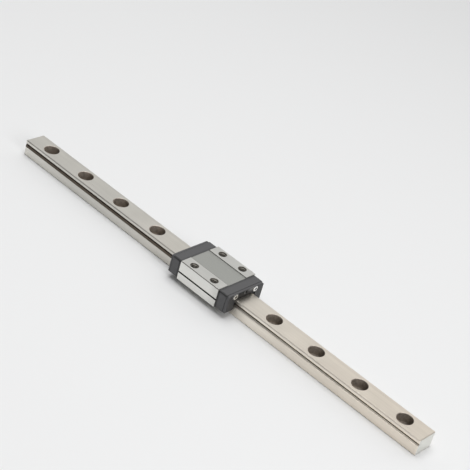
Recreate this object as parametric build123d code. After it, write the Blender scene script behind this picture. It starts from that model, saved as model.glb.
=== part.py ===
"""Miniature profile linear guide: a 9 mm rail with one short carriage on it.

Real size in millimetres. X runs along the rail, Z is up, and the origin is the middle
of the rail's bottom face. Front is the +X end, left is the +Y side.
"""
import math
import os

from build123d import *

os.makedirs("parts", exist_ok=True)

# Rail: one drawn, hardened and ground bar.
rail_length = 200.0
rail_width = 9.0
rail_height = 6.5
rail_edge_chamfer = 0.3

# Mounting holes down the rail, each for an M3 socket screw sunk below the top.
hole_pitch = 20.0
least_end_distance = 5.0
counterbore_diameter = 6.0
counterbore_depth = 3.5
bolt_hole_diameter = 3.5
hole_chamfer = 0.15

# Balls and the pointed-arch tracks that carry them, one circuit on each side of the rail.
ball_diameter = 1.588
ball_gap = 0.11
ball_row_height = 4.6
ball_row_outset = 0.4
track_conformity = 0.54
track_clearance = 0.03
track_slot_height = 0.4
track_slot_depth = 0.2

# Carriage block: a ground steel saddle over the rail.
carriage_offset = 1.0
carriage_width = 20.0
carriage_top = 10.0
carriage_ground_gap = 2.2
block_length = 18.9
block_top_chamfer = 0.25
block_foot_chamfer = 0.15
block_end_chamfer = 0.12
channel_side_gap = 0.75
channel_top_gap = 0.5
channel_corner_radius = 0.4

# Top of the block: two ground pads with a slightly lower strip between them.
pad_strip_width = 9.7
pad_strip_depth = 0.25

# Groove along each outer side, where the ground upper part ends.
side_groove_level = 5.46
side_groove_height = 0.5
side_groove_depth = 0.4

# Four M3 threaded holes in the pads, at the thread's outer diameter.
carriage_hole_spacing = 10.0
carriage_hole_edge_distance = 2.5
thread_diameter = 3.0
thread_depth = 3.0
thread_mouth = 3.3
tap_drill_diameter = 2.5
tap_drill_runout = 0.3
drill_point_angle = 118.0

# Return bores down the middle of each leg, through which the balls run back.
return_bore_diameter = 1.75

# End caps: moulded plastic, with the channels that turn the balls round.
cap_length = 4.0
cap_top_drop = 0.3
cap_side_inset = 0.2
cap_foot_lift = 0.2
cap_foot_chamfer = 0.3
cap_top_radius = 1.0
cap_rail_gap = 0.35

# End seals: plates as wide and high as the caps, with rounder corners. The thinner lip round the
# rail follows its section.
seal_thickness = 1.0
seal_inset = 0.05
seal_front_chamfer = 0.15
seal_corner_radius = 0.6
seal_top_radius = 1.5
seal_lip_gap = 0.06
seal_lip_width = 1.0
seal_lip_height = 1.4
seal_lip_corner_radius = 2.0
seal_lip_recess = 0.35
joint_chamfer = 0.12

# Grease port in the middle of each end.
port_diameter = 1.2
port_depth = 3.0
port_drop = 1.3

# Screws that hold the caps and seals, M1.6 pan head with a cross recess.
screw_diameter = 1.6
screw_length = 7.0
screw_head_diameter = 2.4
screw_head_height = 0.75
screw_head_crown = 0.3
screw_inset = 4.7
screw_drop = 1.8
screw_seat_thickness = 0.25
screw_head_clearance = 0.1
screw_hole_clearance = 0.1
screw_thread_clearance = 0.02
screw_hole_runout = 0.5
cross_length = 1.5
cross_width = 0.36
cross_depth = 0.4

# Sizes worked out from the ones above.
hole_count = int((rail_length - 2 * least_end_distance) / hole_pitch) + 1
hole_start = -hole_pitch * (hole_count - 1) / 2
ball_radius = ball_diameter / 2
ball_row_side = rail_width / 2 + ball_row_outset
track_radius = track_conformity * ball_diameter
track_shift = (track_radius - ball_radius - track_clearance) * math.sin(math.radians(45))
channel_half_width = rail_width / 2 + channel_side_gap
channel_top = rail_height + channel_top_gap
track_reach = track_radius - track_shift + track_slot_depth
return_bore_side = (ball_row_side + track_reach + carriage_width / 2 - side_groove_depth) / 2
turn_radius = (return_bore_side - ball_row_side) / 2
carriage_hole_side = carriage_width / 2 - carriage_hole_edge_distance
cap_top = carriage_top - cap_top_drop
cap_half_width = carriage_width / 2 - cap_side_inset
cap_foot = carriage_ground_gap + cap_foot_lift
cap_rail_side = rail_width / 2 + cap_rail_gap
cap_rail_top = rail_height + cap_rail_gap
screw_side = carriage_width / 2 - screw_inset
screw_level = carriage_top - screw_drop
port_level = carriage_top - port_drop
cap_face = block_length / 2 + cap_length
seal_face = cap_face + seal_thickness


def section_plane(x):
    """A plane across the rail at x, on which a sketch's X is the side and its Y the height."""
    return Plane(origin=(x, 0, 0), x_dir=(0, 1, 0), z_dir=(1, 0, 0))


def band(side_low, side_high, level_low, level_high):
    """A rectangle of the cross-section, between two sides and two levels."""
    size = (side_high - side_low, level_high - level_low)
    middle = ((side_low + side_high) / 2, (level_low + level_high) / 2)
    return Pos(*middle) * Rectangle(*size)


def top_corners(sketch):
    """The two highest corners of a cross-section."""
    return sketch.vertices().group_by(Axis.Y)[-1]


def foot_corners(sketch):
    """The two lowest corners of a cross-section."""
    return sketch.vertices().group_by(Axis.Y)[0]


def track(side, towards):
    """Cross-section of a pointed-arch ball track. towards is +1 for the groove in the block on
    the ball's outer side and -1 for the groove in the rail."""
    arch_side = ball_row_side - towards * track_shift
    upper = Pos(arch_side, ball_row_height - track_shift) * Circle(track_radius)
    lower = Pos(arch_side, ball_row_height + track_shift) * Circle(track_radius)
    floor = arch_side + towards * math.sqrt(track_radius**2 - track_shift**2)
    slot_end = floor + towards * track_slot_depth
    slot = band(
        min(ball_row_side, slot_end),
        max(ball_row_side, slot_end),
        ball_row_height - track_slot_height / 2,
        ball_row_height + track_slot_height / 2,
    )
    groove = (upper & lower) + slot
    return groove if side > 0 else mirror(groove, about=Plane.YZ)


def rail_section():
    """Cross-section of the rail with a track in each side."""
    half = rail_width / 2
    section = band(-half, half, 0, rail_height)
    section = chamfer(section.vertices(), rail_edge_chamfer)
    for side in (-1, 1):
        section -= track(side, towards=-1)
    return section


def chamfered_stock(x_low, x_high, half_width, bottom, top, edge):
    """A box with every edge chamfered, which breaks the ends of what is cut to it."""
    size = (x_high - x_low, 2 * half_width, top - bottom)
    stock = Pos((x_low + x_high) / 2, 0, (bottom + top) / 2) * Box(*size)
    return chamfer(stock.edges(), edge)


def make_rail():
    """The rail, with its row of counterbored mounting holes."""
    half = rail_length / 2
    rail = extrude(section_plane(-half) * rail_section(), rail_length)
    rail &= chamfered_stock(-half, half, rail_width / 2, 0, rail_height, rail_edge_chamfer)
    bolt_radius = bolt_hole_diameter / 2
    bore_radius = counterbore_diameter / 2
    seat = rail_height - counterbore_depth
    outline = Polyline(
        (0, 0),
        (bolt_radius + hole_chamfer, 0),
        (bolt_radius, hole_chamfer),
        (bolt_radius, seat),
        (bore_radius, seat),
        (bore_radius, rail_height - hole_chamfer),
        (bore_radius + hole_chamfer, rail_height),
        (0, rail_height),
        close=True,
    )
    hole = revolve(Plane.XZ * make_face(outline), Axis.Z)
    for number in range(hole_count):
        rail -= Pos(hole_start + number * hole_pitch, 0, 0) * hole
    return rail


def block_section():
    """Cross-section of the steel saddle, with its tracks, return bores and side grooves."""
    half = carriage_width / 2
    section = band(-half, half, carriage_ground_gap, carriage_top)
    section = chamfer(top_corners(section), block_top_chamfer)
    section = chamfer(foot_corners(section), block_foot_chamfer)
    strip = pad_strip_width / 2
    section -= band(-strip, strip, carriage_top - pad_strip_depth, carriage_top)
    channel = band(-channel_half_width, channel_half_width, 0, channel_top)
    section -= fillet(top_corners(channel), channel_corner_radius)
    for side in (-1, 1):
        section -= track(side, towards=1)
        section -= Pos(side * return_bore_side, ball_row_height) * Circle(return_bore_diameter / 2)
        groove_floor = half - side_groove_depth
        groove = band(groove_floor, half, 0, side_groove_height)
        groove = Pos(0, side_groove_level - side_groove_height / 2) * groove
        section -= groove if side > 0 else mirror(groove, about=Plane.YZ)
    return section


def threaded_hole():
    """A blind M3 hole with a broken mouth, its mouth at the origin and its axis up."""
    mouth = thread_mouth / 2
    thread = thread_diameter / 2
    drill = tap_drill_diameter / 2
    drill_end = thread_depth + tap_drill_runout
    point = drill / math.tan(math.radians(drill_point_angle / 2))
    outline = Polyline(
        (0, 0),
        (mouth, 0),
        (thread, thread - mouth),
        (thread, -thread_depth),
        (drill, -thread_depth),
        (drill, -drill_end),
        (0, -drill_end - point),
        close=True,
    )
    return revolve(Plane.XZ * make_face(outline), Axis.Z)


def cylinder_between(x_low, x_high, side, level, diameter):
    """A round bar along X."""
    circle = section_plane(x_low) * Pos(side, level) * Circle(diameter / 2)
    return extrude(circle, x_high - x_low)


def make_block():
    """The steel saddle, centred on x = 0."""
    half = block_length / 2
    block = extrude(section_plane(-half) * block_section(), block_length)
    block &= chamfered_stock(
        -half, half, carriage_width / 2, carriage_ground_gap, carriage_top, block_end_chamfer
    )
    hole = threaded_hole()
    thread = screw_diameter + 2 * screw_thread_clearance
    depth = screw_length - screw_seat_thickness - cap_length + screw_hole_runout
    for end in (-1, 1):
        for side in (-1, 1):
            block -= Pos(end * carriage_hole_spacing / 2, side * carriage_hole_side, carriage_top) * hole
            span = sorted((end * half, end * (half - depth)))
            block -= cylinder_between(*span, side * screw_side, screw_level, thread)
    return block


def end_outline(inset, top_radius):
    """Outline of the carriage's ends, a given distance inside the sides, top and foot of the caps."""
    half = cap_half_width - inset
    outline = band(-half, half, cap_foot + inset, cap_top - inset)
    outline = fillet(top_corners(outline), top_radius)
    return chamfer(foot_corners(outline), cap_foot_chamfer)


def end_edges(shape, end):
    """The edges round the rear (0) or front (-1) face of a shape."""
    return shape.faces().sort_by(Axis.X)[end].edges()


def make_end_cap():
    """The front end cap, against the front face of a block centred on x = 0."""
    inner = block_length / 2
    cap = extrude(section_plane(inner) * end_outline(0, cap_top_radius), cap_length)
    cap = chamfer(end_edges(cap, -1), joint_chamfer)
    channel = band(-cap_rail_side, cap_rail_side, 0, cap_rail_top)
    channel = fillet(top_corners(channel), channel_corner_radius)
    cap -= extrude(section_plane(inner) * channel, cap_length)
    hole = screw_diameter + 2 * screw_hole_clearance
    for side in (-1, 1):
        turn_middle = side * (ball_row_side + turn_radius)
        circle = Plane.YZ * Pos(turn_middle + turn_radius, ball_row_height) * Circle(return_bore_diameter / 2)
        spindle = Axis((0, turn_middle, 0), (0, 0, 1))
        turnaround = revolve(circle, spindle, revolution_arc=-180)
        cap -= Pos(inner, 0, 0) * turnaround
        cap -= cylinder_between(inner, cap_face, side * screw_side, screw_level, hole)
    cap -= cylinder_between(seal_face - port_depth, cap_face, 0, port_level, port_diameter)
    return cap


def make_end_seal():
    """The front end seal, against the face of the front cap of a block centred on x = 0."""
    seal = extrude(section_plane(cap_face) * end_outline(seal_inset, seal_top_radius), seal_thickness)
    seal = chamfer(end_edges(seal, -1), seal_front_chamfer)
    seal = chamfer(end_edges(seal, 0), joint_chamfer)
    plan = Rectangle(seal_thickness, 2 * (cap_half_width - seal_inset))
    plan = fillet(plan.vertices().group_by(Axis.X)[-1], seal_corner_radius)
    seal &= extrude(Pos((cap_face + seal_face) / 2, 0) * plan, cap_top)
    lip_side = rail_width / 2 + seal_lip_width
    lip_face = band(-lip_side, lip_side, 0, rail_height + seal_lip_height)
    lip_face = fillet(top_corners(lip_face), seal_lip_corner_radius)
    seal -= extrude(section_plane(seal_face - seal_lip_recess) * lip_face, seal_lip_recess)
    wiped = offset(rail_section(), seal_lip_gap)
    seal -= extrude(section_plane(cap_face) * wiped, seal_thickness)
    hole = screw_diameter + 2 * screw_hole_clearance
    head_room = screw_head_diameter + 2 * screw_head_clearance
    for side in (-1, 1):
        seal -= cylinder_between(cap_face, seal_face, side * screw_side, screw_level, hole)
        seat = cap_face + screw_seat_thickness
        seal -= cylinder_between(seat, seal_face, side * screw_side, screw_level, head_room)
    seal -= cylinder_between(cap_face, seal_face, 0, port_level, port_diameter)
    return seal


def make_cap_screw():
    """A front cap screw on the X axis, with its head's seat where the seal's web ends."""
    seat = cap_face + screw_seat_thickness
    tip = seat - screw_length
    shank = cylinder_between(tip, seat, 0, 0, screw_diameter)
    shank = chamfer(shank.edges().sort_by(Axis.X)[0], screw_diameter / 8)
    head = cylinder_between(seat, seat + screw_head_height, 0, 0, screw_head_diameter)
    head = fillet(head.edges().sort_by(Axis.X)[-1], screw_head_crown)
    arm = Box(2 * cross_depth, cross_length, cross_width)
    cross = arm + Rot(90, 0, 0) * arm
    return shank + head - Pos(seat + screw_head_height, 0, 0) * cross


def make_ball_circuit():
    """The balls of the left circuit, spread evenly along the loaded row, the return bore and the
    turnarounds, as solids that don't touch."""
    loop = SlotCenterToCenter(block_length, 2 * turn_radius).wire()
    middle = Pos(0, ball_row_side + turn_radius, ball_row_height)
    ball_count = int(loop.length / (ball_diameter + ball_gap))
    return [middle * Pos(*(loop @ (n / ball_count))) * Sphere(ball_radius) for n in range(ball_count)]


def write(shape, node):
    """Writes one node's STEP file."""
    export_step(shape, f"parts/{node}.step")


place = Pos(carriage_offset, 0, 0)
write(make_rail(), "rail")
write(place * make_block(), "carriage_block")

cap = make_end_cap()
seal = make_end_seal()
screw = make_cap_screw()
for end, turned in (("front", Rot(0, 0, 0)), ("rear", Rot(0, 0, 180))):
    write(place * turned * cap, f"end_cap_{end}")
    write(place * turned * seal, f"end_seal_{end}")
    for side_name, side in (("left", 1), ("right", -1)):
        sense = 1 if end == "front" else -1
        seated = turned * Pos(0, sense * side * screw_side, screw_level) * screw
        write(place * seated, f"cap_screw_{end}_{side_name}")

circuit = Compound(make_ball_circuit())
write(place * circuit, "balls_left")
write(place * Rot(0, 0, 180) * circuit, "balls_right")
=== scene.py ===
"""Looks of a miniature profile linear guide: a ground steel rail with one ball-bearing carriage.

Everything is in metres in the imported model's frame: X along the rail, Z up, front at +X.
The shader values that are places on the guide are in millimetres in that frame.
"""
import math

import bmesh
import bpy
from mathutils import Matrix, Vector


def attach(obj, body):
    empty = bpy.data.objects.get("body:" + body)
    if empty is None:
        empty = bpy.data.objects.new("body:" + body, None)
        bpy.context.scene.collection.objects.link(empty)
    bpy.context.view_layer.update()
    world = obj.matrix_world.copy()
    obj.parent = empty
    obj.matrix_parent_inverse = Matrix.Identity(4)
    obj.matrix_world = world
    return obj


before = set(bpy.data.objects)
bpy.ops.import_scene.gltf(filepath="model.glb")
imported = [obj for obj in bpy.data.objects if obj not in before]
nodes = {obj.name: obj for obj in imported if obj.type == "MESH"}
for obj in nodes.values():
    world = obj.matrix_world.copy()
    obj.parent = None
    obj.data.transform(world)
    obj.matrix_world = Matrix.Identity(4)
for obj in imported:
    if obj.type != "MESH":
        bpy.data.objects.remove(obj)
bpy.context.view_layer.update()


# Photographer's camera. It stands in front and to the right, a little over half a metre away, and
# is turned about its own axis so that the level rail runs down the picture from left to right.
camera_place = Vector((0.254437, -0.369683, 0.304622))
camera_right = Vector((0.70805, 0.66308, 0.24287))
camera_up = Vector((-0.52148, 0.25908, 0.81298))
camera_back = Vector((0.47615, -0.70228, 0.52923))
lens = bpy.data.cameras.new("camera")
lens.lens = 114.66
lens.sensor_width = 36.0
lens.clip_start = 0.01
camera = bpy.data.objects.new("camera", lens)
camera_turn = Matrix((camera_right, camera_up, camera_back)).transposed()
camera.matrix_world = Matrix.Translation(camera_place) @ camera_turn.to_4x4()
bpy.context.collection.objects.link(camera)
bpy.context.scene.camera = camera
bpy.context.scene.view_settings.view_transform = "Standard"


# Studio. The guide lies on a pale painted bench top, under a large diffuser and a small one past its
# front end. The ground tops of the steel mirror the bright wall behind them. The photographer's side
# of the room is dim, and the edges that face it show as thin dark lines.
def put(tree, kind, sources=None, **settings):
    """Adds a node with its settings, and feeds its inputs from plain values or other sockets."""
    node = tree.nodes.new(kind)
    for name, value in settings.items():
        setattr(node, name, value)
    for name, source in (sources or {}).items():
        if isinstance(source, bpy.types.NodeSocket):
            tree.links.new(source, node.inputs[name])
        else:
            node.inputs[name].default_value = source
    return node


def calc(tree, operation, *sources):
    """The output of a Math node on values or sockets."""
    return put(tree, "ShaderNodeMath", dict(enumerate(sources)), operation=operation).outputs[0]


def ease(tree, value, low, high, to_low=0.0, to_high=1.0):
    """A value eased from one range onto another and held at both ends."""
    sources = {"Value": value, "From Min": low, "From Max": high, "To Min": to_low, "To Max": to_high}
    node = put(tree, "ShaderNodeMapRange", sources, interpolation_type="SMOOTHSTEP")
    return node.outputs["Result"]


room_world = bpy.data.worlds.new("room")
bpy.context.scene.world = room_world
room_world.use_nodes = True
room = room_world.node_tree
room.nodes.clear()
looking = put(room, "ShaderNodeTexCoord").outputs["Generated"]
back_wall = (-0.56, 0.83, 0.0)
wall_starts = -0.1
wall_full = 0.6
dim_side = 0.22
bright_wall = 0.74
towards_wall = put(room, "ShaderNodeVectorMath", {0: looking, 1: back_wall}, operation="DOT_PRODUCT")
seen = put(room, "ShaderNodeLightPath").outputs["Is Camera Ray"]
wall_light = ease(room, towards_wall.outputs["Value"], wall_starts, wall_full, dim_side, bright_wall)
brightness = calc(room, "MAXIMUM", wall_light, calc(room, "MULTIPLY", seen, bright_wall))
daylight = {"Color": (1.0, 0.995, 0.985, 1.0), "Strength": brightness}
room_light = put(room, "ShaderNodeBackground", daylight)
put(room, "ShaderNodeOutputWorld", {"Surface": room_light.outputs[0]})


def add_softbox(name, place, width, power):
    """A square diffuser that faces the guide."""
    light = bpy.data.lights.new(name, "AREA")
    light.shape = "SQUARE"
    light.size = width
    light.energy = power
    softbox = bpy.data.objects.new(name, light)
    facing = Vector(place).to_track_quat("Z", "Y").to_matrix().to_4x4()
    softbox.matrix_world = Matrix.Translation(place) @ facing
    bpy.context.collection.objects.link(softbox)


add_softbox("overhead_softbox", place=(-0.05, 0.00, 0.80), width=0.6, power=3.8)
add_softbox("front_softbox", place=(0.75, -0.20, 0.45), width=0.35, power=2.0)

bench_reach = 2.0
bench_mesh = bpy.data.meshes.new("bench_top")
bench_corners = [(x * bench_reach, y * bench_reach, 0) for x, y in ((-1, -1), (1, -1), (1, 1), (-1, 1))]
bench_mesh.from_pydata(bench_corners, [], [(0, 1, 2, 3)])
bench = bpy.data.objects.new("bench_top", bench_mesh)
bpy.context.collection.objects.link(bench)
bench_paint = bpy.data.materials.new("bench_paint")
bench_paint.use_nodes = True
bench_shader = bench_paint.node_tree.nodes["Principled BSDF"]
bench_shader.inputs["Base Color"].default_value = (0.84, 0.845, 0.85, 1.0)
bench_shader.inputs["Roughness"].default_value = 0.85
bench_mesh.materials.append(bench_paint)


# Rail. A drawn bar of bearing steel, hardened and ground along its length, with a ball track ground
# in each side and a row of counterbored holes. It is sawn to length, so its ends stay rough.
def new_group(name, inputs, outputs):
    """An empty node group with named sockets, as the group, its inputs and its output node."""
    group = bpy.data.node_groups.new(name, "ShaderNodeTree")
    for socket_name, (kind, default) in inputs.items():
        socket = group.interface.new_socket(socket_name, in_out="INPUT", socket_type=kind)
        socket.default_value = default
    for socket_name, kind in outputs.items():
        group.interface.new_socket(socket_name, in_out="OUTPUT", socket_type=kind)
    given = put(group, "NodeGroupInput").outputs
    return group, given, put(group, "NodeGroupOutput")


def millimetres(tree):
    """The shaded point in the guide's frame, in millimetres."""
    point = put(tree, "ShaderNodeTexCoord").outputs["Object"]
    scaled = put(tree, "ShaderNodeVectorMath", {0: point, "Scale": 1000.0}, operation="SCALE")
    return scaled.outputs["Vector"]


def split(tree, vector):
    """The X, Y and Z of a vector."""
    return put(tree, "ShaderNodeSeparateXYZ", {"Vector": vector}).outputs


def stretch(tree, vector, factors):
    """A vector scaled by its own factor along each axis."""
    scaled = put(tree, "ShaderNodeVectorMath", {0: vector, 1: factors}, operation="MULTIPLY")
    return scaled.outputs["Vector"]


def noise(tree, vector, scale, detail=3.0, roughness=0.55):
    """The value of a noise texture."""
    sources = {"Vector": vector, "Scale": scale, "Detail": detail, "Roughness": roughness}
    return put(tree, "ShaderNodeTexNoise", sources).outputs["Fac"]


def inside(tree, value, low, high, soft=0.02):
    """1 where a value lies between two limits and 0 outside them, with soft edges."""
    above = ease(tree, value, low - soft, low + soft)
    below = ease(tree, value, high - soft, high + soft, 1.0, 0.0)
    return calc(tree, "MULTIPLY", above, below)


def blend_colour(tree, factor, first, second):
    """A colour between two, each given as red, green and blue or as a socket."""
    node = put(tree, "ShaderNodeMix", data_type="RGBA")
    for socket, source in ((node.inputs[0], factor), (node.inputs[6], first), (node.inputs[7], second)):
        if isinstance(source, bpy.types.NodeSocket):
            tree.links.new(source, socket)
        else:
            socket.default_value = source if socket.type == "VALUE" else (*source, 1.0)
    return node.outputs[2]


def tint(tree, colour, value):
    """A colour made lighter or darker by a value."""
    scaled = put(tree, "ShaderNodeVectorMath", {0: colour, "Scale": value}, operation="SCALE")
    return scaled.outputs["Vector"]


# Ground finish: fine scratches and broader bands that run along the rail.
ground_finish, given, made = new_group(
    "ground_finish",
    {
        "Lines per mm": ("NodeSocketFloat", 6.0),
        "Tone": ("NodeSocketFloat", 0.1),
        "Roughness": ("NodeSocketFloat", 0.3),
        "Spread": ("NodeSocketFloat", 0.1),
    },
    {"Tone": "NodeSocketFloat", "Roughness": "NodeSocketFloat", "Height": "NodeSocketFloat"},
)
point = millimetres(ground_finish)
bands_per_mm = 0.7
clouds_per_mm = 0.08
band_share = 0.5
cloud_share = 0.6
line_stretch = (0.01, 1.0, 1.0)
band_stretch = (0.006, 1.0, 1.0)
drawn_out = stretch(ground_finish, point, line_stretch)
line_noise = noise(ground_finish, drawn_out, given["Lines per mm"], 4.0, 0.6)
drawn_further = stretch(ground_finish, point, band_stretch)
band_noise = noise(ground_finish, drawn_further, bands_per_mm, 2.0)
cloud_noise = noise(ground_finish, point, clouds_per_mm, 3.0)
lines = calc(ground_finish, "SUBTRACT", line_noise, 0.5)
bands = calc(ground_finish, "SUBTRACT", band_noise, 0.5)
clouds = calc(ground_finish, "SUBTRACT", cloud_noise, 0.5)
mixed = calc(ground_finish, "MULTIPLY_ADD", bands, band_share, lines)
mixed = calc(ground_finish, "MULTIPLY_ADD", clouds, cloud_share, mixed)
tone = calc(ground_finish, "MULTIPLY_ADD", mixed, given["Tone"], 1.0)
ground_finish.links.new(tone, made.inputs["Tone"])
rough = calc(ground_finish, "MULTIPLY_ADD", mixed, given["Spread"], given["Roughness"])
ground_finish.links.new(rough, made.inputs["Roughness"])
ground_finish.links.new(line_noise, made.inputs["Height"])

# Drilled rows: where a point is inside a row of holes, and the rings that the cutter left there.
drilled_rows, given, made = new_group(
    "drilled_rows",
    {
        "First hole": ("NodeSocketVector", (0.0, 0.0, 0.0)),
        "Pitch": ("NodeSocketVector", (20.0, 200.0, 1.0)),
        "Radius": ("NodeSocketFloat", 3.0),
    },
    {"Inside": "NodeSocketFloat", "Rings": "NodeSocketFloat"},
)
two_places = {0: millimetres(drilled_rows), 1: given["First hole"]}
offset = put(drilled_rows, "ShaderNodeVectorMath", two_places, operation="SUBTRACT")
away = split(drilled_rows, offset.outputs["Vector"])
pitch = split(drilled_rows, given["Pitch"])
from_axis = []
for axis in (0, 1):
    half = calc(drilled_rows, "MULTIPLY", pitch[axis], 0.5)
    low = calc(drilled_rows, "MULTIPLY", pitch[axis], -0.5)
    wrapped = calc(drilled_rows, "WRAP", away[axis], half, low)
    from_axis.append(calc(drilled_rows, "MULTIPLY", wrapped, wrapped))
distance = calc(drilled_rows, "SQRT", calc(drilled_rows, "ADD", *from_axis))
margin = calc(drilled_rows, "SUBTRACT", given["Radius"], distance)
drilled_rows.links.new(ease(drilled_rows, margin, -0.04, 0.02), made.inputs["Inside"])
ring_pitch = 0.14
along = calc(drilled_rows, "ADD", distance, away["Z"])
wave = calc(drilled_rows, "SINE", calc(drilled_rows, "MULTIPLY", along, math.tau / ring_pitch))
drilled_rows.links.new(wave, made.inputs["Rings"])

# Edge wear: how worn a point is by its nearness to an edge, and the normal of a slightly round edge.
edge_wear, given, made = new_group(
    "edge_wear",
    {"Width": ("NodeSocketFloat", 0.0001)},
    {"Worn": "NodeSocketFloat", "Normal": "NodeSocketVector"},
)
rounded = put(edge_wear, "ShaderNodeBevel", {"Radius": given["Width"]}, samples=6).outputs["Normal"]
flat = put(edge_wear, "ShaderNodeNewGeometry").outputs["Normal"]
agreement = put(edge_wear, "ShaderNodeVectorMath", {0: rounded, 1: flat}, operation="DOT_PRODUCT")
unworn_agreement = 0.995
worn_agreement = 0.86
worn = ease(edge_wear, agreement.outputs["Value"], unworn_agreement, worn_agreement)
edge_wear.links.new(worn, made.inputs["Worn"])
edge_wear.links.new(rounded, made.inputs["Normal"])


def new_finish(name, metallic, specular=0.5):
    """A material with a Principled shader, as the material, its tree and the shader."""
    material = bpy.data.materials.new(name)
    material.use_nodes = True
    tree = material.node_tree
    shader = tree.nodes["Principled BSDF"]
    shader.inputs["Metallic"].default_value = metallic
    shader.inputs["Specular IOR Level"].default_value = specular
    return material, tree, shader


def surface(tree, shader, colour, roughness, height, depth, normal):
    """Feeds a shader its colour, roughness and a bump of the given depth in millimetres."""
    tree.links.new(colour, shader.inputs["Base Color"])
    tree.links.new(roughness, shader.inputs["Roughness"])
    sources = {"Height": height, "Distance": depth / 1000, "Strength": 1.0, "Normal": normal}
    bump = put(tree, "ShaderNodeBump", sources)
    tree.links.new(bump.outputs["Normal"], shader.inputs["Normal"])


def give(names, material):
    """Puts a material on CAD nodes."""
    for name in names:
        mesh = nodes[name].data
        mesh.materials.clear()
        mesh.materials.append(material)


hole_row_start = 10.0
hole_row_pitch = 20.0
one_row_pitch = 200.0
counterbore_mouth_radius = 3.13
bore_dark_level = 3.4
bore_light_level = 6.2
bore_light_side = -1.8
bore_dark_side = 2.6
rail_end = 100.0
rail_flank = 4.5
rail_height = 6.5
rail_edge = 0.3
track_middle = 4.6
track_half_height = 0.75
track_slot_side = 4.08
track_floor_side = 3.5
smear_low = track_middle - 1.0
smear_high = track_middle - 0.65
rim_low = 5.27
rim_high = 5.75

# Places along the rail where its look changes. The seals have wiped the front half clean, and old
# grease and painted shade darken the tracks of the rear half.
warm_light_from = -60.0
warm_light_to = 95.0
wiped_from = -20.0
wiped_to = 45.0
seal_light_far = 42.0
seal_light_near = 22.0
under_carriage_from = -10.0
under_carriage_to = 10.0
rear_lift_from = -72.0
rear_lift_to = -92.0
ball_path_from = 5.0
ball_path_to = 25.0
bright_path_from = 60.0
bright_path_to = 88.0
soft_edge_from = -10.0
soft_edge_to = 30.0
seal_painted_light = 0.18
rear_end_lift = 0.12
ball_polish_and_light = 0.22
rim_highlight = 0.16
rim_highlight_by_seal = 0.8

# How strongly each mark shows. Tones multiply the colour, the wipe and the edge wear are shares, and
# the rest is added roughness, bump height or, for the scratches, their depth in millimetres.
bore_dark_tone = 0.79
bore_light_tone = 1.07
bore_floor_tone = 0.74
thinnest_wipe = 0.85
edge_wear_share = 0.3
bore_roughness = 0.25
sawn_roughness = 0.22
track_roughness = 0.1
edge_roughness = 0.1
saw_mark_height = 8.0
scratch_depth = 0.002

rear_steel = (0.63, 0.615, 0.57)
front_steel_and_light = (0.81, 0.74, 0.645)
sawn_steel = (0.82, 0.82, 0.78)
rail_edge_shine = (0.93, 0.91, 0.88)
grease_and_shade_brown = (0.225, 0.185, 0.15)
greasy_slot_and_shade = (0.05, 0.043, 0.038)
clean_slot_and_shade = (0.14, 0.105, 0.05)
smeared_grease = (0.08, 0.067, 0.056)
lit_bore = (0.70, 0.63, 0.56)
shaded_bore = (0.225, 0.20, 0.17)

rail_steel, tree, shader = new_finish("rail_steel", metallic=1.0)
ground = put(tree, "ShaderNodeGroup", node_tree=ground_finish)
for name, value in (("Lines per mm", 5.0), ("Tone", 0.22), ("Roughness", 0.34), ("Spread", 0.22)):
    ground.inputs[name].default_value = value
rows = put(tree, "ShaderNodeGroup", node_tree=drilled_rows)
rows.inputs["First hole"].default_value = (hole_row_start, 0.0, 0.0)
rows.inputs["Pitch"].default_value = (hole_row_pitch, one_row_pitch, 1.0)
rows.inputs["Radius"].default_value = counterbore_mouth_radius
wear = put(tree, "ShaderNodeGroup", {"Width": 0.00006}, node_tree=edge_wear)
x, y, z = split(tree, millimetres(tree))
side = calc(tree, "ABSOLUTE", y)
end = calc(tree, "ABSOLUTE", x)
in_bore = rows.outputs["Inside"]
past_end = ease(tree, end, rail_end - 0.06, rail_end - 0.02)
track_height = inside(tree, z, track_middle - track_half_height, track_middle + track_half_height)
in_track = inside(tree, side, track_floor_side, rail_flank - 0.02, 0.015)
in_track = calc(tree, "MULTIPLY", track_height, in_track)
in_track = calc(tree, "MULTIPLY", in_track, calc(tree, "SUBTRACT", 1.0, past_end))
# The front half is warmer and lighter than the rear half, partly as painted light.
steel = blend_colour(tree, ease(tree, x, warm_light_from, warm_light_to), rear_steel, front_steel_and_light)
on_flank = ease(tree, z, rail_height - rail_edge - 0.02, rail_height - rail_edge - 0.08)
on_flank = calc(tree, "MULTIPLY", on_flank, calc(tree, "SUBTRACT", 1.0, track_height))
# Painted light: the flanks just in front of the carriage are coloured lighter, against the shade the carriage
# casts there.
light_near_seal = ease(tree, x, seal_light_far, seal_light_near, 0.0, seal_painted_light)
before_rear = ease(tree, x, under_carriage_from, under_carriage_to)
light_near_seal = calc(tree, "MULTIPLY", light_near_seal, before_rear)
# The flanks are coloured lighter towards the rear end.
near_rear_end = ease(tree, x, rear_lift_from, rear_lift_to, 0.0, rear_end_lift)
lightening = calc(tree, "MULTIPLY", on_flank, calc(tree, "MAXIMUM", light_near_seal, near_rear_end))
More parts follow.
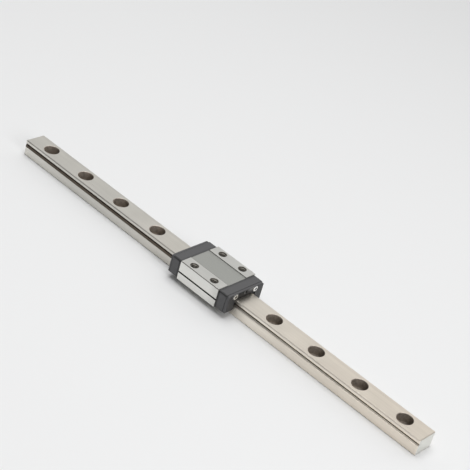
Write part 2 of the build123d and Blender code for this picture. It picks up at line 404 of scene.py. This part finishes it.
# Painted highlight: a light band along the upper rim of each track, strongest in front of the carriage.
on_rim = inside(tree, z, rim_low, rim_high, 0.06)
painted_rim_highlight = ease(tree, x, ball_path_from, ball_path_to, 0.0, rim_highlight)
painted_rim_highlight = calc(tree, "MULTIPLY_ADD", light_near_seal, rim_highlight_by_seal, painted_rim_highlight)
on_rim = calc(tree, "MULTIPLY", on_rim, painted_rim_highlight)
lightening = calc(tree, "MAXIMUM", lightening, on_rim)
steel = tint(tree, steel, calc(tree, "ADD", lightening, 1.0))
colour = tint(tree, steel, ground.outputs["Tone"])
on_edge = inside(tree, z, rail_height - rail_edge + 0.02, rail_height - 0.02, 0.02)
on_edge = calc(tree, "MULTIPLY", on_edge, inside(tree, side, rail_flank - rail_edge, rail_flank - 0.02, 0.02))
on_edge = calc(tree, "MULTIPLY", on_edge, ease(tree, x, soft_edge_from, soft_edge_to))
grease = noise(tree, stretch(tree, millimetres(tree), (0.08, 1.0, 1.0)), 2.2, 4.0, 0.6)
wiped = ease(tree, x, wiped_from, wiped_to)
wiped = calc(tree, "MULTIPLY", wiped, ease(tree, grease, 0.2, 0.5, thinnest_wipe, 1.0))
# Old grease and painted shade darken the rear tracks, and the narrow slot at each track's bottom is painted
# dark, partly as shade.
track_colour = blend_colour(tree, wiped, grease_and_shade_brown, colour)
# The upper faces of the tracks, and the whole track near the front end, are lighter: partly the balls'
# polish, partly painted light against the shade the arch casts on its own upper face.
upper_face = ease(tree, z, track_middle + 0.1, track_middle + 0.4)
path_polish_and_light = calc(tree, "MAXIMUM", upper_face, ease(tree, x, bright_path_from, bright_path_to))
polish = ease(tree, x, ball_path_from, ball_path_to, 0.0, ball_polish_and_light)
path_polish_and_light = calc(tree, "MULTIPLY", path_polish_and_light, polish)
track_colour = tint(tree, track_colour, calc(tree, "ADD", path_polish_and_light, 1.0))
in_slot = ease(tree, side, track_slot_side + 0.02, track_slot_side - 0.02)
slot_colour = blend_colour(tree, wiped, greasy_slot_and_shade, clean_slot_and_shade)
track_colour = blend_colour(tree, in_slot, track_colour, slot_colour)
smear = inside(tree, z, smear_low, smear_high, 0.05)
smear = calc(tree, "MULTIPLY", smear, calc(tree, "SUBTRACT", 1.0, wiped))
colour = blend_colour(tree, smear, colour, smeared_grease)
colour = blend_colour(tree, in_track, colour, track_colour)
bore_clouds = noise(tree, millimetres(tree), 0.9, 3.0)
bore_tone = ease(tree, bore_clouds, 0.3, 0.7, bore_dark_tone, bore_light_tone)
from_hole = calc(tree, "SUBTRACT", x, hole_row_start)
from_hole = calc(tree, "WRAP", from_hole, hole_row_pitch / 2, -hole_row_pitch / 2)
depth_tone = ease(tree, z, bore_dark_level, bore_light_level, bore_floor_tone, 1.0)
bore_tone = calc(tree, "MULTIPLY", bore_tone, depth_tone)
across_bore = ease(tree, from_hole, bore_light_side, bore_dark_side)
bore_colour = blend_colour(tree, across_bore, lit_bore, shaded_bore)
colour = blend_colour(tree, in_bore, colour, tint(tree, bore_colour, bore_tone))
colour = blend_colour(tree, past_end, colour, sawn_steel)
edge_share = calc(tree, "MULTIPLY_ADD", in_track, -edge_wear_share, edge_wear_share)
edge = calc(tree, "MULTIPLY", wear.outputs["Worn"], edge_share)
colour = blend_colour(tree, edge, colour, rail_edge_shine)
roughness = calc(tree, "MULTIPLY_ADD", in_bore, bore_roughness, ground.outputs["Roughness"])
roughness = calc(tree, "MULTIPLY_ADD", past_end, sawn_roughness, roughness)
roughness = calc(tree, "MULTIPLY_ADD", in_track, track_roughness, roughness)
roughness = calc(tree, "MULTIPLY_ADD", on_edge, edge_roughness, roughness)
saw_marks = noise(tree, stretch(tree, millimetres(tree), (1.0, 0.35, 1.6)), 5.0, 4.0, 0.65)
height = calc(tree, "MULTIPLY_ADD", in_bore, rows.outputs["Rings"], ground.outputs["Height"])
sawn_height = calc(tree, "MULTIPLY", saw_marks, past_end)
height = calc(tree, "MULTIPLY_ADD", sawn_height, saw_mark_height, height)
surface(tree, shader, colour, roughness, height, scratch_depth, wear.outputs["Normal"])
give(["rail"], rail_steel)


# Carriage block. A saddle of the same steel, ground on its two top pads and its flanks. The strip
# between the pads is a little lower and only blasted, and a groove ends the ground part of each flank.
carriage_middle = 1.0
carriage_hole_x = 5.0
carriage_hole_y = 7.5
block_half_length = 9.45
block_top = 10.0
block_flank = 10.0
strip_half_width = 4.85
flank_groove = 5.46
flank_groove_half = 0.33
flank_groove_side = 9.1
saddle_side = 5.3
saddle_top = 7.1
hole_mouth_radius = 1.64
top_chamfer = 0.25
strip_level = 9.75
shade_from = 5.0
shade_to = 9.0
front_tone = 0.84
step_shadow = 0.85
blasted_dark_tone = 0.93
blasted_light_tone = 1.07
block_wear_share = 0.25
blasted_roughness = 0.2
thread_roughness = 0.1
blasted_height = 3.0

flank_steel_lit = (0.79, 0.785, 0.75)
pad_shine = (0.63, 0.63, 0.605)
chamfer_shade = (0.32, 0.31, 0.29)
blasted_grey = (0.385, 0.39, 0.37)
saddle_shade = (0.12, 0.10, 0.088)
groove_and_shadow_black = (0.03, 0.026, 0.023)
thread_grey = (0.24, 0.225, 0.20)
block_edge_shine = (0.93, 0.92, 0.89)

block_steel, tree, shader = new_finish("block_steel", metallic=1.0)
ground = put(tree, "ShaderNodeGroup", node_tree=ground_finish)
for name, value in (("Lines per mm", 6.0), ("Tone", 0.16), ("Roughness", 0.36), ("Spread", 0.16)):
    ground.inputs[name].default_value = value
rows = put(tree, "ShaderNodeGroup", node_tree=drilled_rows)
rows.inputs["First hole"].default_value = (carriage_middle + carriage_hole_x, carriage_hole_y, 0.0)
rows.inputs["Pitch"].default_value = (2 * carriage_hole_x, 2 * carriage_hole_y, 1.0)
rows.inputs["Radius"].default_value = hole_mouth_radius
wear = put(tree, "ShaderNodeGroup", {"Width": 0.00006}, node_tree=edge_wear)
x, y, z = split(tree, millimetres(tree))
side = calc(tree, "ABSOLUTE", y)
in_bore = rows.outputs["Inside"]
on_pad = ease(tree, z, block_top - 0.06, block_top - 0.02)
on_strip = ease(tree, side, strip_half_width, strip_half_width - 0.02)
on_strip = calc(tree, "MULTIPLY", on_strip, ease(tree, z, strip_level - 0.15, strip_level - 0.05))
# Painted shadow: a dark line along each step between the strip and a pad, reaching onto the pad's edge.
on_step = inside(tree, side, strip_half_width - 0.06, strip_half_width + 0.09, 0.03)
above_strip = ease(tree, z, strip_level + 0.01, strip_level + 0.05, 0.0, step_shadow)
on_step = calc(tree, "MULTIPLY", on_step, above_strip)
# The flank groove is coloured near black.
in_groove = inside(tree, z, flank_groove - flank_groove_half, flank_groove + flank_groove_half, 0.03)
near_flank = ease(tree, side, flank_groove_side - 0.1, flank_groove_side)
in_groove = calc(tree, "MULTIPLY", in_groove, near_flank)
by_top = inside(tree, z, block_top - top_chamfer + 0.02, block_top - 0.02, 0.01)
by_flank = inside(tree, side, block_flank - top_chamfer + 0.02, block_flank - 0.02, 0.01)
on_corner = calc(tree, "MULTIPLY", by_top, by_flank)
in_saddle = ease(tree, side, saddle_side, saddle_side - 0.03)
in_saddle = calc(tree, "MULTIPLY", in_saddle, ease(tree, z, saddle_top, saddle_top - 0.05))
dark_groove_and_step_shadow = calc(tree, "MAXIMUM", in_groove, on_step)
shaded = calc(tree, "MAXIMUM", in_saddle, dark_groove_and_step_shadow)
shade_start = carriage_middle + shade_from
shade_end = carriage_middle + shade_to
front_shade = ease(tree, x, shade_start, shade_end, 1.0, front_tone)
# Painted light: the flanks get a lighter steel than the top pads, standing in for the stronger light on them.
flank_steel = tint(tree, flank_steel_lit, front_shade)
colour = blend_colour(tree, on_pad, flank_steel, pad_shine)
colour = blend_colour(tree, on_corner, colour, chamfer_shade)
colour = tint(tree, colour, ground.outputs["Tone"])
blasted_grain = noise(tree, millimetres(tree), 9.0, 3.0, 0.6)
blasted_tone = ease(tree, blasted_grain, 0.3, 0.7, blasted_dark_tone, blasted_light_tone)
blasted = tint(tree, blasted_grey, blasted_tone)
colour = blend_colour(tree, on_strip, colour, blasted)
colour = blend_colour(tree, in_saddle, colour, saddle_shade)
colour = blend_colour(tree, dark_groove_and_step_shadow, colour, groove_and_shadow_black)
colour = blend_colour(tree, in_bore, colour, thread_grey)
edge_share = calc(tree, "MULTIPLY_ADD", shaded, -block_wear_share, block_wear_share)
edge = calc(tree, "MULTIPLY", wear.outputs["Worn"], edge_share)
colour = blend_colour(tree, edge, colour, block_edge_shine)
roughness = calc(tree, "MULTIPLY_ADD", on_strip, blasted_roughness, ground.outputs["Roughness"])
roughness = calc(tree, "MULTIPLY_ADD", in_bore, thread_roughness, roughness)
height = calc(tree, "MULTIPLY", on_strip, blasted_grain)
height = calc(tree, "MULTIPLY_ADD", height, blasted_height, ground.outputs["Height"])
surface(tree, shader, colour, roughness, height, scratch_depth, wear.outputs["Normal"])
give(["carriage_block"], block_steel)


# Threads of the four M3 holes. Each is the helical ridge that the tap leaves standing in the drilled
# hole, at a pitch of 0.5 mm, and runs out at the hole's chamfered mouth and at its blind end.
thread_pitch = 0.5
thread_root = 1.51
thread_crest = 1.25
thread_top = 9.78
thread_bottom = 7.12
steps_per_turn = 40
runout_turns = 0.4
least_fade = 0.02
root_half_width = 0.22
crest_half_width = 0.035

thread_mesh = bmesh.new()
turns = (thread_top - thread_bottom) / thread_pitch
step_count = int(turns * steps_per_turn)
for hole_x in (carriage_middle - carriage_hole_x, carriage_middle + carriage_hole_x):
    for hole_y in (-carriage_hole_y, carriage_hole_y):
        rings = []
        for step in range(step_count + 1):
            turn = step / steps_per_turn
            level = thread_bottom + turn * thread_pitch
            fade = min(1.0, turn / runout_turns, (turns - turn) / runout_turns)
            crest = thread_root - (thread_root - thread_crest) * max(fade, least_fade)
            angle = -turn * math.tau
            ridge = (
                (thread_root, -root_half_width),
                (crest, -crest_half_width),
                (crest, crest_half_width),
                (thread_root, root_half_width),
            )
            ring = []
            for radius, rise in ridge:
                place = (hole_x + radius * math.cos(angle), hole_y - radius * math.sin(angle), level + rise)
                ring.append(thread_mesh.verts.new(Vector(place) / 1000))
            rings.append(ring)
        for first, second in zip(rings, rings[1:]):
            for corner in range(3):
                thread_mesh.faces.new((first[corner], first[corner + 1], second[corner + 1], second[corner]))
            thread_mesh.faces.new((first[3], first[0], second[0], second[3]))
        thread_mesh.faces.new(rings[0])
        thread_mesh.faces.new(reversed(rings[-1]))
bmesh.ops.recalc_face_normals(thread_mesh, faces=thread_mesh.faces)
thread_data = bpy.data.meshes.new("carriage_threads")
thread_mesh.to_mesh(thread_data)
thread_mesh.free()
thread_data.materials.append(block_steel)
carriage_threads = bpy.data.objects.new("carriage_threads", thread_data)
bpy.context.collection.objects.link(carriage_threads)
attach(carriage_threads, "carriage")


# End caps. Injection-moulded in a dark grey filled plastic, with a fine spark-eroded grain and edges
# that the mould leaves slightly round. Two screws hold each one against an end of the block.
moulded_grain, given, made = new_group(
    "moulded_grain",
    {
        "Colour": ("NodeSocketColor", (0.1, 0.1, 0.1, 1.0)),
        "Roughness": ("NodeSocketFloat", 0.5),
        "Grain per mm": ("NodeSocketFloat", 9.0),
    },
    {"Colour": "NodeSocketColor", "Roughness": "NodeSocketFloat", "Height": "NodeSocketFloat"},
)
point = millimetres(moulded_grain)
blotches_per_mm = 0.5
specks_per_mm = 26.0
plain_tone = 0.80
grain_tone = 0.16
blotch_tone = 0.24
speck_starts = 0.74
speck_full = 0.80
most_dust = 0.12
blotch_roughness = 0.3
dust_grey = (0.45, 0.44, 0.42)
grain = noise(moulded_grain, point, given["Grain per mm"], 2.0, 0.6)
blotches = noise(moulded_grain, point, blotches_per_mm, 3.0, 0.6)
specks = noise(moulded_grain, point, specks_per_mm, 1.0)
tone = calc(moulded_grain, "MULTIPLY_ADD", grain, grain_tone, plain_tone)
tone = calc(moulded_grain, "MULTIPLY_ADD", blotches, blotch_tone, tone)
dusted = ease(moulded_grain, specks, speck_starts, speck_full, 0.0, most_dust)
toned = tint(moulded_grain, given["Colour"], tone)
coloured = blend_colour(moulded_grain, dusted, toned, dust_grey)
moulded_grain.links.new(coloured, made.inputs["Colour"])
uneven = calc(moulded_grain, "SUBTRACT", blotches, 0.5)
rough = calc(moulded_grain, "MULTIPLY_ADD", uneven, blotch_roughness, given["Roughness"])
moulded_grain.links.new(rough, made.inputs["Roughness"])
moulded_grain.links.new(grain, made.inputs["Height"])

cap_face = 13.45
cap_side = 9.6
corner_slope = 1.35
corner_starts = 22.0
joint_fades = 1.1
joint_full = 0.65
joint_inner_shade = 0.4
corner_shade = 0.8
seal_side_shade = 0.4
cap_grain_depth = 0.012
cap_grey = (0.068, 0.068, 0.071, 1.0)
joint_and_shade_black = (0.008, 0.008, 0.008)
cap_plastic, tree, shader = new_finish("cap_plastic", metallic=0.0, specular=0.6)
cap_grain = put(tree, "ShaderNodeGroup", {"Roughness": 0.38, "Grain per mm": 9.0}, node_tree=moulded_grain)
cap_grain.inputs["Colour"].default_value = cap_grey
wear = put(tree, "ShaderNodeGroup", {"Width": 0.00016}, node_tree=edge_wear)
x, y, z = split(tree, millimetres(tree))
from_middle = calc(tree, "ABSOLUTE", calc(tree, "SUBTRACT", x, carriage_middle))
side = calc(tree, "ABSOLUTE", y)
# The joints to the block and the seal are dark, and painted shade darkens the cap beside them and along its
# top outer corners.
joint_and_corner_shade = ease(tree, from_middle, block_half_length + joint_fades, block_half_length + joint_full)
outwards = ease(tree, side, cap_side - 0.6, cap_side, joint_inner_shade, 1.0)
joint_and_corner_shade = calc(tree, "MULTIPLY", joint_and_corner_shade, outwards)
up_and_out = calc(tree, "MULTIPLY_ADD", z, corner_slope, side)
on_corner = ease(tree, up_and_out, corner_starts, corner_starts + 0.08, 0.0, corner_shade)
joint_and_corner_shade = calc(tree, "MAXIMUM", joint_and_corner_shade, on_corner)
by_seal = ease(tree, from_middle, cap_face - 0.16, cap_face - 0.08, 0.0, seal_side_shade)
joint_and_corner_shade = calc(tree, "MAXIMUM", joint_and_corner_shade, by_seal)
colour = blend_colour(tree, joint_and_corner_shade, cap_grain.outputs["Colour"], joint_and_shade_black)
roughness = cap_grain.outputs["Roughness"]
height = cap_grain.outputs["Height"]
surface(tree, shader, colour, roughness, height, cap_grain_depth, wear.outputs["Normal"])
give(["end_cap_front", "end_cap_rear"], cap_plastic)


# End seals. A stiff moulded plate, rounder at its corners than the cap and clamped to it by the cap
# screws, carries a black rubber lip that wipes the rail's top, sides and tracks. Its face is painted in
# shade, deepest between the near screw and the grease port, with a painted sheen past the port.
carriage_half_length = 14.45
lip_side = 5.5
lip_top = 7.9
face_side = 9.3
face_top = 9.8
sheen_from = 1.4
sheen_to = 4.4
dark_patch_from = -4.1
dark_patch_to = -1.1
port_glint_from = -0.95
port_glint_to = -0.3
port_glint_low = 8.1
port_glint_high = 9.2
streak_from = -0.05
streak_to = 0.55
streak_low = 8.2
streak_high = 9.8
lip_shade_reach = 1.4
lip_shade = 0.85
seal_wear_share = 0.35
seal_grain_depth = 0.008

rim_grey = (0.082, 0.082, 0.085)
shaded_face_grey = (0.050, 0.050, 0.052)
sheen_grey = (0.145, 0.145, 0.147)
dark_patch_black = (0.012, 0.012, 0.012)
port_glint_grey = (0.20, 0.20, 0.202)
streak_black = (0.008, 0.008, 0.008)
near_lip_black = (0.018, 0.018, 0.018)
lip_black = (0.010, 0.010, 0.010)
seal_edge_shine = (0.16, 0.16, 0.165)
seal_rubber, tree, shader = new_finish("seal_rubber", metallic=0.0, specular=0.4)
seal_grain = put(tree, "ShaderNodeGroup", {"Roughness": 0.5, "Grain per mm": 14.0}, node_tree=moulded_grain)
x, y, z = split(tree, millimetres(tree))
from_middle = calc(tree, "ABSOLUTE", calc(tree, "SUBTRACT", x, carriage_middle))
side = calc(tree, "ABSOLUTE", y)
recessed = ease(tree, from_middle, carriage_half_length - 0.02, carriage_half_length - 0.05)
on_lip = ease(tree, side, lip_side + 0.02, lip_side)
on_lip = calc(tree, "MULTIPLY", on_lip, ease(tree, z, lip_top + 0.02, lip_top))
on_lip = calc(tree, "MULTIPLY", on_lip, recessed)
# Painted shade: the front face is coloured darker than the top and sides of the plate.
on_face = ease(tree, from_middle, carriage_half_length - 0.06, carriage_half_length - 0.01)
on_face = calc(tree, "MULTIPLY", on_face, ease(tree, side, face_side, face_side - 0.4))
on_face = calc(tree, "MULTIPLY", on_face, ease(tree, z, face_top, face_top - 0.2))
near_lip = ease(tree, z, lip_top + lip_shade_reach, lip_top, 0.0, lip_shade)
near_lip = calc(tree, "MULTIPLY", near_lip, ease(tree, side, lip_side + 0.7, lip_side - 0.5))
# Painted sheen on the far half of the face, and painted shade on the near half between the screw and the
# port.
painted_sheen = inside(tree, y, sheen_from, sheen_to, 1.0)
face_colour = blend_colour(tree, painted_sheen, shaded_face_grey, sheen_grey)
painted_dark_patch = inside(tree, y, dark_patch_from, dark_patch_to, 0.2)
face_colour = blend_colour(tree, painted_dark_patch, face_colour, dark_patch_black)
seal_colour = blend_colour(tree, on_face, rim_grey, face_colour)
seal_colour = blend_colour(tree, near_lip, seal_colour, near_lip_black)
# Painted highlight: a thin light mark beside the grease port.
painted_port_glint = inside(tree, y, port_glint_from, port_glint_to, 0.15)
painted_port_glint = calc(tree, "MULTIPLY", painted_port_glint, inside(tree, z, port_glint_low, port_glint_high, 0.2))
painted_port_glint = calc(tree, "MULTIPLY", painted_port_glint, on_face)
seal_colour = blend_colour(tree, painted_port_glint, seal_colour, port_glint_grey)
streak = inside(tree, y, streak_from, streak_to, 0.15)
streak = calc(tree, "MULTIPLY", streak, inside(tree, z, streak_low, streak_high, 0.1))
streak = calc(tree, "MULTIPLY", streak, on_face)
seal_colour = blend_colour(tree, streak, seal_colour, streak_black)
seal_colour = blend_colour(tree, on_lip, seal_colour, lip_black)
tree.links.new(seal_colour, seal_grain.inputs["Colour"])
wear = put(tree, "ShaderNodeGroup", {"Width": 0.00012}, node_tree=edge_wear)
edge = calc(tree, "MULTIPLY", wear.outputs["Worn"], seal_wear_share)
colour = blend_colour(tree, edge, seal_grain.outputs["Colour"], seal_edge_shine)
roughness = seal_grain.outputs["Roughness"]
height = seal_grain.outputs["Height"]
surface(tree, shader, colour, roughness, height, seal_grain_depth, wear.outputs["Normal"])
give(["end_seal_front", "end_seal_rear"], seal_rubber)


# Cap screws. Small pan-head screws with a cross recess, cold-headed in steel and bright zinc
# plated. The bottom of the recess is coloured dark.
screw_side = 5.3
screw_level = 8.2
recess_reach = 0.80
turning_pitch = 0.09
turning_depth = 0.001
smoothest_plating = 0.20
plating_spread = 0.12
plating_shade = (0.90, 0.89, 0.86)
plating_shine = (0.97, 0.96, 0.94)
recess_dark = (0.06, 0.055, 0.05)
screw_steel, tree, shader = new_finish("screw_steel", metallic=1.0)
x, y, z = split(tree, millimetres(tree))
from_side = calc(tree, "SUBTRACT", calc(tree, "ABSOLUTE", y), screw_side)
from_level = calc(tree, "SUBTRACT", z, screw_level)
square = calc(tree, "MULTIPLY_ADD", from_side, from_side, calc(tree, "MULTIPLY", from_level, from_level))
radius = calc(tree, "SQRT", square)
from_middle = calc(tree, "ABSOLUTE", calc(tree, "SUBTRACT", x, carriage_middle))
below_head = ease(tree, from_middle, carriage_half_length - 0.03, carriage_half_length - 0.06)
sunk = calc(tree, "MULTIPLY", ease(tree, radius, recess_reach, recess_reach - 0.06), below_head)
plating = noise(tree, millimetres(tree), 4.0, 3.0)
screw_colour = blend_colour(tree, plating, plating_shade, plating_shine)
colour = blend_colour(tree, sunk, screw_colour, recess_dark)
rings = calc(tree, "SINE", calc(tree, "MULTIPLY", radius, math.tau / turning_pitch))
roughness = calc(tree, "MULTIPLY_ADD", plating, plating_spread, smoothest_plating)
wear = put(tree, "ShaderNodeGroup", {"Width": 0.00005}, node_tree=edge_wear)
surface(tree, shader, colour, roughness, rings, turning_depth, wear.outputs["Normal"])
ends = ("front", "rear")
sides = ("left", "right")
give([f"cap_screw_{end}_{side}" for end in ends for side in sides], screw_steel)


# Balls. Two rows of polished bearing balls, each going round its own circuit through the block and
# the caps. They carry a trace of oil, and stay hidden between the rail, the block and the caps.
ball_shade = (0.80, 0.79, 0.77)
ball_shine = (0.90, 0.89, 0.87)
polished_roughness = 0.06
oiled_roughness = 0.16
polish_depth = 0.0003
ball_steel, tree, shader = new_finish("ball_steel", metallic=1.0)
oil = noise(tree, millimetres(tree), 1.4, 3.0)
colour = blend_colour(tree, oil, ball_shade, ball_shine)
roughness = ease(tree, oil, 0.3, 0.7, polished_roughness, oiled_roughness)
polish = noise(tree, millimetres(tree), 12.0, 2.0)
wear = put(tree, "ShaderNodeGroup", {"Width": 0.00001}, node_tree=edge_wear)
surface(tree, shader, colour, roughness, polish, polish_depth, wear.outputs["Normal"])
give(["balls_left", "balls_right"], ball_steel)
